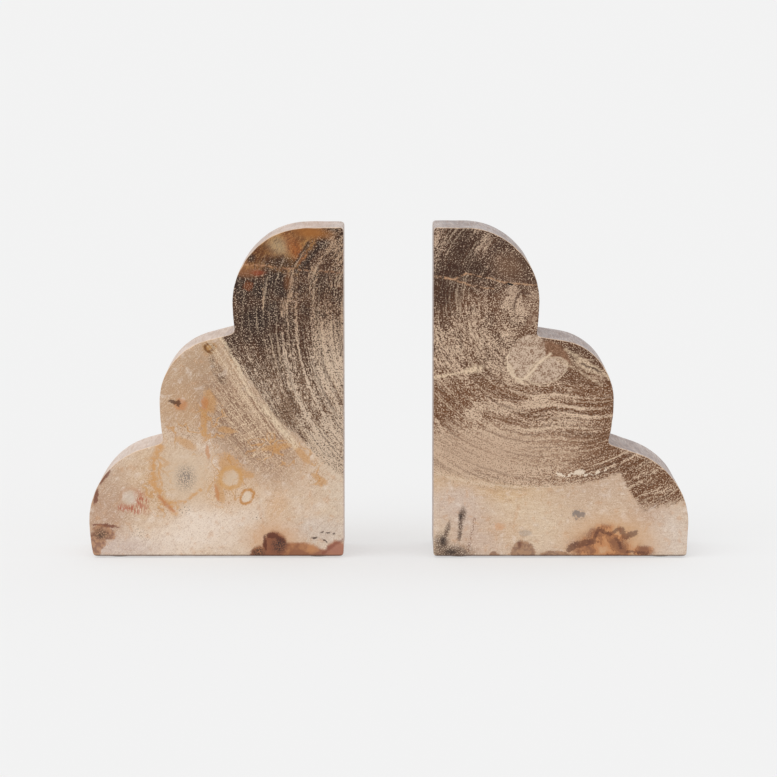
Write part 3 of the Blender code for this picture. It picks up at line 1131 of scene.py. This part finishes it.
def right_pale_share(stone, from_edge, wedge):
    """How much of the heartwood's surface is pale flecks."""
    p = stone.paint
    near = stone.near
    loose = stone.loose
    pale = 0.29 + (stone.stripes - 0.5) * 0.9 + (stone.bands - 0.5) * 0.75 + (stone.patch - 0.5) * 0.5
    pale = pale + p.rise(near.up, 76, 52) * p.rise(near.out, 92, 16) * 0.5
    pale = stone.paler(pale, loose, RIGHT_PALER_TOP)
    pale = pale + p.spots(near, 0.7, RIGHT_PALE_BANDS) * 0.48
    pale = stone.paler(pale, loose, RIGHT_PALER_MIDDLE)
    pale = pale - wedge * 0.22
    pale = stone.paler(pale, loose, RIGHT_PALER_LOW)
    pale = stone.paler(pale, near, RIGHT_PALER_WEDGE)
    pale = pale + p.rise(from_edge, 6, -2) * p.rise(near.up, 38, 46) * 0.25
    for distance, listed in ((stone.rings, RIGHT_RING_ARCS), (stone.wide, RIGHT_WIDE_ARCS)):
        for ring, breadth, core, faint, full, share in listed:
            on_ring = p.rise(abs(distance - ring), breadth, core)
            pale = pale + on_ring * p.rise(near.out, faint, full) * share
    pale = pale + p.line(near, ((1, 69), (6, 60), (14, 50)), 0.7, 0.9) * 0.4
    return pale + p.line(near, ((2, 58), (8, 50), (18, 42)), 0.6, 0.9) * 0.3


def right_heartwood(stone, pale):
    """Brown with pale flecks along the rings."""
    p = stone.paint
    out = stone.near.out
    up = stone.near.up
    dark = Coat(p, p.mix((98, 64, 42), (82, 52, 34), p.rise(stone.cloud, 0.42, 0.6)))
    dark.lay((114, 75, 48), p.rise(up, 104, 80))
    dark.lay((150, 115, 89), p.rise(up, 72, 56) * p.rise(out, 92, 62))
    dark.lay((60, 38, 26), p.rise(up, 128, 142) * 0.8)
    fleck = p.mix((208, 180, 154), (180, 152, 130), p.rise(up, 118, 140))
    wood = stone.flecked(dark.colour, fleck, pale.at_most(0.8))
    stone.pepper(wood, (80, 50, 32), (218, 192, 166))
    fine_rings = p.noise(stone.ringed, (0.75, 24, 9), 1, 42)
    away_from_pith = p.rise(stone.wide, 22, 42)
    fine_rings = (fine_rings - 0.5) * away_from_pith + 0.5
    stone.streak(wood, fine_rings, (84, 52, 32), (222, 196, 168))
    return wood


def right_top_lobe(stone, wood):
    """Dark blotches and two dark broken lines in the top lobe."""
    p = stone.paint
    near = stone.near
    wood.wash(stone.loose, (186, 155, 130), (22, 51), (46, 14), 0, 0.45)
    blotches = p.spots(near, 0.9, RIGHT_BLOTCHES)
    wood.lay((54, 30, 18), blotches * p.rise(stone.grain, 0.66, 0.44) * 0.8)
    wood.wash(near, (136, 102, 78), (37, 146), (9, 7), -20, 0.42)
    chain = p.line(near, ((27.6, 151), (31, 155.6), (36, 160)), 1.4, 0.8)
    wood.lay((62, 38, 28), chain * p.rise(stone.grit, 0.56, 0.4) * 0.9)
    meander = ((40.6, 124), (40.4, 129), (43, 132.6), (49.6, 132.6))
    wood.lay((78, 50, 36), p.line(stone.loose, meander, 0.5, 0.9) * 0.75)
    wood.lay((104, 66, 44), p.line(near, ((50.5, 122), (47.4, 117)), 1.4, 0.9) * 0.5)


def right_inclusions(stone, wood):
    """Two pale ovals with bright outlines, and the plain brown between them and the notch."""
    p = stone.paint
    near = stone.near
    plain = p.spot(near, (61, 102), (9, 4.4), -38, 0.25)
    plain_colour = p.mix((116, 80, 56), (150, 112, 86), p.rise(stone.grain, 0.42, 0.58))
    wood.lay(plain_colour, plain * 0.85)
    cell = p.spots(near, 0.08, ((46.5, 100.5, 8.6, 11.6, -28), (56.8, 93.4, 10.2, 5.8, 22)))
    cell_flecks = stone.flecks(0.56 + (stone.patch - 0.5) * 1.2)
    wood.lay(p.mix((142, 112, 90), (204, 180, 158), cell_flecks), cell * 0.95)
    outline = p.ring(near, (46.5, 100.5), (8.9, 11.9), -28, 0.04, 0.9)
    outline = outline * p.spot(stone.loose, (40, 93), (9, 11), 20, 0.4)
    outline = outline.at_least(p.ring(near, (56.8, 93.4), (10.5, 6.1), 22, 0.05, 0.9) * 0.6)
    outline = outline.at_least(p.lines(near, RIGHT_CELL_LINES))
    wood.lay((226, 202, 174), outline * 0.85)


def right_veins(stone, wood):
    """Pale veins, and the cracks across the top lobe."""
    p = stone.paint
    near = stone.near
    veins = p.lines(near, RIGHT_VEINS)
    veins = veins.at_least(p.spot(near, (77, 95.6), (6.5, 1.9), -24, 0.8))
    wood.lay((224, 198, 168), veins * p.rise(stone.grain, 0.34, 0.52) * 0.9)
    wood.lay((72, 44, 30), p.line(near, ((74, 97), (84, 92.6)), 0.45, 0.8) * 0.85)
    cracks = p.lines(near, RIGHT_CRACKS)
    wood.lay((196, 152, 116), cracks * p.rise(stone.patch, 0.34, 0.54) * 0.85)
    shade = p.line(near, ((28, 141.6), (40, 138.6), (52, 137.8)), 0.9, 0.9)
    wood.lay((84, 54, 38), shade * 0.35)
    wood.lay((12, 10, 10), p.line(near, ((37.4, 137), (39.2, 136.6)), 0.55, 0.4))


def right_boundary(stone, coat, from_edge):
    """The bright broken edge where the brown meets the sapwood."""
    p = stone.paint
    near = stone.near
    ragged = p.line(near, RIGHT_BROKEN_EDGE, 0.8, 0.8) * p.rise(stone.patch, 0.4, 0.54)
    ragged = ragged + p.spot(near, (72.6, 42.4), (3.2, 0.9), 14, 0.8)
    coat.lay((236, 218, 196), stone.grainy(ragged.at_most(1)) * 0.8)
    low_line = p.rise(abs(from_edge - 0.5), 1.2, 0.3) * p.rise(near.out, 70, 40)
    coat.lay((228, 206, 180), low_line * p.rise(stone.grain, 0.4, 0.56) * 0.5)


def right_stone(inner_x):
    """The right slab: mostly heartwood, with a strip of sapwood along the base."""
    stone = Stone("right_petrified_wood", "right_block", inner_x, 1)
    p = stone.paint
    right_rings(stone)
    coat = right_sapwood(stone)
    right_rust(stone, coat)
    right_dark_stains(stone, coat)
    from_edge = 154 - p.from_point(stone.near, RIGHT_BOUNDARY)
    crisp = p.rise(stone.near.out, 30, 62)
    ragged = (stone.bands - 0.5) * 5 + (stone.stripes - 0.5) * 4 + (stone.grain - 0.5) * 7
    heart = p.rise(from_edge + ragged, -4.5 + crisp * 3.7, 4.5 - crisp * 3.5)
    wedge = right_wedge(stone)
    heart = heart.at_least(wedge)
    wood = right_heartwood(stone, right_pale_share(stone, from_edge, wedge))
    right_top_lobe(stone, wood)
    right_inclusions(stone, wood)
    right_veins(stone, wood)
    coat.lay(wood.colour, heart)
    right_boundary(stone, coat, from_edge)
    return stone, coat


# ---------------------------------------------------------------- finishes

# The dusty colours of the sawn sides: light, middling and dark
LEFT_SAWN = ((232, 218, 210), (214, 200, 192), (200, 178, 164))
RIGHT_SAWN = ((206, 198, 196), (184, 174, 172), (172, 154, 146))


def finish_stone(stone, coat, sawn_colours):
    """Polished faces, and sides sawn along the log: dusty, streaked and rough. A painted shadow
    darkens the base's edge and a painted highlight brightens the upward-facing arrises.
    """
    p = stone.paint
    facing_back, facing_up = p.split(1)[1:]
    side = p.rise(abs(facing_back), 0.75, 0.45)
    # Painted shade: the lowest millimetre of the stone is darkened all round, standing in for the
    # shadow line in the gap under the base.
    coat.lay((66, 48, 40), p.rise(stone.up, 1.0, 0.35) * 0.75)
    long_grain = Place(p, stone.out, stone.up, stone.back)
    streaks = p.noise(long_grain, (1.4, 1.4, 30.0), 3.0, 41.0)
    dust = p.noise(long_grain, (9.0, 9.0, 16.0), 3.0, 43.0)
    threads = p.noise(long_grain, (0.45, 0.45, 9.0), 2.0, 45.0)
    light, middling, dark = sawn_colours
    sawn = Coat(p, p.mix(light, middling, p.rise(dust, 0.38, 0.64)))
    sawn.lay(dark, p.rise(streaks, 0.50, 0.68) * 0.55)
    sawn.lay(dark, p.rise(threads, 0.54, 0.70) * 0.5)
    sawn.lay((240, 232, 226), p.rise(threads, 0.44, 0.30) * 0.45)
    sawn.lay(coat.colour, 0.24)
    # Painted highlight, partly a real worn edge: the rounded arrises that face upwards are laid pale
    # cream, as the unpolished edge looks when it catches the light from above.
    arris = p.rise(abs(abs(facing_back) - 0.66), 0.30, 0.14) * p.rise(facing_up, 0.12, 0.4)
    coat.lay(sawn.colour, side)
    coat.lay((240, 208, 176), arris * 0.85)
    p.feed(p.shader.inputs["Base Color"], coat.colour)
    p.feed(p.shader.inputs["Roughness"], p.rise(side + stone.grit * 0.3, -0.8, 1.3))
    p.shader.inputs["Specular IOR Level"].default_value = 0.22
    height = stone.grit * 0.4 + (streaks + threads * 0.5) * side
    bump = p.add("ShaderNodeBump", {"Height": height, "Distance": 0.00012, "Strength": 0.5})
    p.feed(p.shader.inputs["Normal"], bump)
    return p.material


def make_felt():
    """Pressed wool felt: dark, matt and faintly mottled with fibres."""
    p = Paint("pressed_felt")
    x, y, z = (value * (1 / MM) for value in p.split(3))
    place = Place(p, x, y, z)
    fibres = p.noise(place, (0.9, 0.16, 0.3), 2.0, 1.0)
    crossing = p.noise(place, (0.16, 0.9, 0.3), 2.0, 2.0)
    wool = p.mix((74, 66, 58), (104, 94, 84), p.rise(fibres, 0.40, 0.64))
    wool = p.mix(wool, (58, 51, 45), p.rise(crossing, 0.52, 0.68) * 0.7)
    p.feed(p.shader.inputs["Base Color"], wool)
    p.shader.inputs["Roughness"].default_value = 0.96
    p.shader.inputs["Specular IOR Level"].default_value = 0.1
    bump = p.add("ShaderNodeBump", {"Height": fibres + crossing, "Distance": 0.0001, "Strength": 0.6})
    p.feed(p.shader.inputs["Normal"], bump)
    return p.material


# ---------------------------------------------------------------- floor, light and camera

FLOOR_SIDES = 96
FLOOR_RADIUS = 40.0
FLOOR_COLOUR = (0.45, 0.45, 0.45, 1)
FLOOR_GLOW = 0.44              # keeps the floor as pale as the background
SKY_STRENGTH = 0.887
LAMP_STRENGTH = 0.5
LAMP_SPREAD = math.radians(50)
LAMP_FROM = (-0.55, -0.75, 1.0)


def make_floor():
    """A plain pale floor that runs out of sight and melts into the background."""
    bm = bmesh.new()
    bmesh.ops.create_circle(bm, cap_ends=True, segments=FLOOR_SIDES, radius=FLOOR_RADIUS)
    mesh = bpy.data.meshes.new("floor")
    bm.to_mesh(mesh)
    bm.free()
    floor = bpy.data.objects.new("floor", mesh)
    bpy.context.scene.collection.objects.link(floor)
    material = bpy.data.materials.new("floor")
    material.use_nodes = True
    shader = material.node_tree.nodes["Principled BSDF"]
    shader.inputs["Base Color"].default_value = FLOOR_COLOUR
    shader.inputs["Emission Color"].default_value = (1, 1, 1, 1)
    shader.inputs["Emission Strength"].default_value = FLOOR_GLOW
    shader.inputs["Roughness"].default_value = 1.0
    shader.inputs["Specular IOR Level"].default_value = 0.0
    mesh.materials.append(material)


def make_light():
    """White surroundings and a broad soft lamp from the upper left."""
    world = bpy.data.worlds.new("studio")
    world.use_nodes = True
    tree = world.node_tree
    background = tree.nodes["Background"]
    background.inputs["Color"].default_value = (1, 1, 1, 1)
    background.inputs["Strength"].default_value = SKY_STRENGTH
    bpy.context.scene.world = world
    lamp = bpy.data.lights.new("window", "SUN")
    lamp.energy = LAMP_STRENGTH
    lamp.angle = LAMP_SPREAD
    key = bpy.data.objects.new("window", lamp)
    key.rotation_euler = Vector(LAMP_FROM).to_track_quat("Z", "Y").to_euler()
    bpy.context.scene.collection.objects.link(key)


def make_camera(front_y):
    data = bpy.data.cameras.new("camera")
    data.sensor_width = SENSOR_WIDTH
    camera = bpy.data.objects.new("camera", data)
    place = Vector((0, front_y - CAMERA_DISTANCE, CAMERA_HEIGHT))
    aim = Vector((0, front_y, AIM_HEIGHT))
    data.lens = SENSOR_WIDTH * (aim - place).length / FRAME_WIDTH
    camera.location = place
    camera.rotation_euler = (aim - place).to_track_quat("-Z", "Y").to_euler()
    bpy.context.scene.collection.objects.link(camera)
    bpy.context.scene.camera = camera
    bpy.context.scene.view_settings.view_transform = "Standard"


# ---------------------------------------------------------------- the whole scene

make_camera(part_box("right_block")[0][1])
make_light()
make_floor()
left = make_slab("left_stone_slab", "left_block", -1, LEFT_CHIPS, 1.0)
right = make_slab("right_stone_slab", "right_block", 1, RIGHT_CHIPS, 5.0)
left_look = left_stone(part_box("left_block")[1][0])
right_look = right_stone(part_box("right_block")[0][0])
for slab, side, look, sawn in (
    (left, "left", left_look, LEFT_SAWN),
    (right, "right", right_look, RIGHT_SAWN),
):
    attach(slab, side + "_bookend")
    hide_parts(side + "_block")
    side + "_stone"
    slab.data.materials.append(finish_stone(*look, sawn))

felt = make_felt()
for number, cad_name in enumerate(sorted(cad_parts)):
    if "_felt_pad_" in cad_name:
        pad = make_pad(cad_name.replace("_pad_", "_disc_"), cad_name, 20.0 + number)
        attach(pad, cad_name.split("_")[0] + "_bookend")
        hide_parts(cad_name)
        pad.data.materials.append(felt)
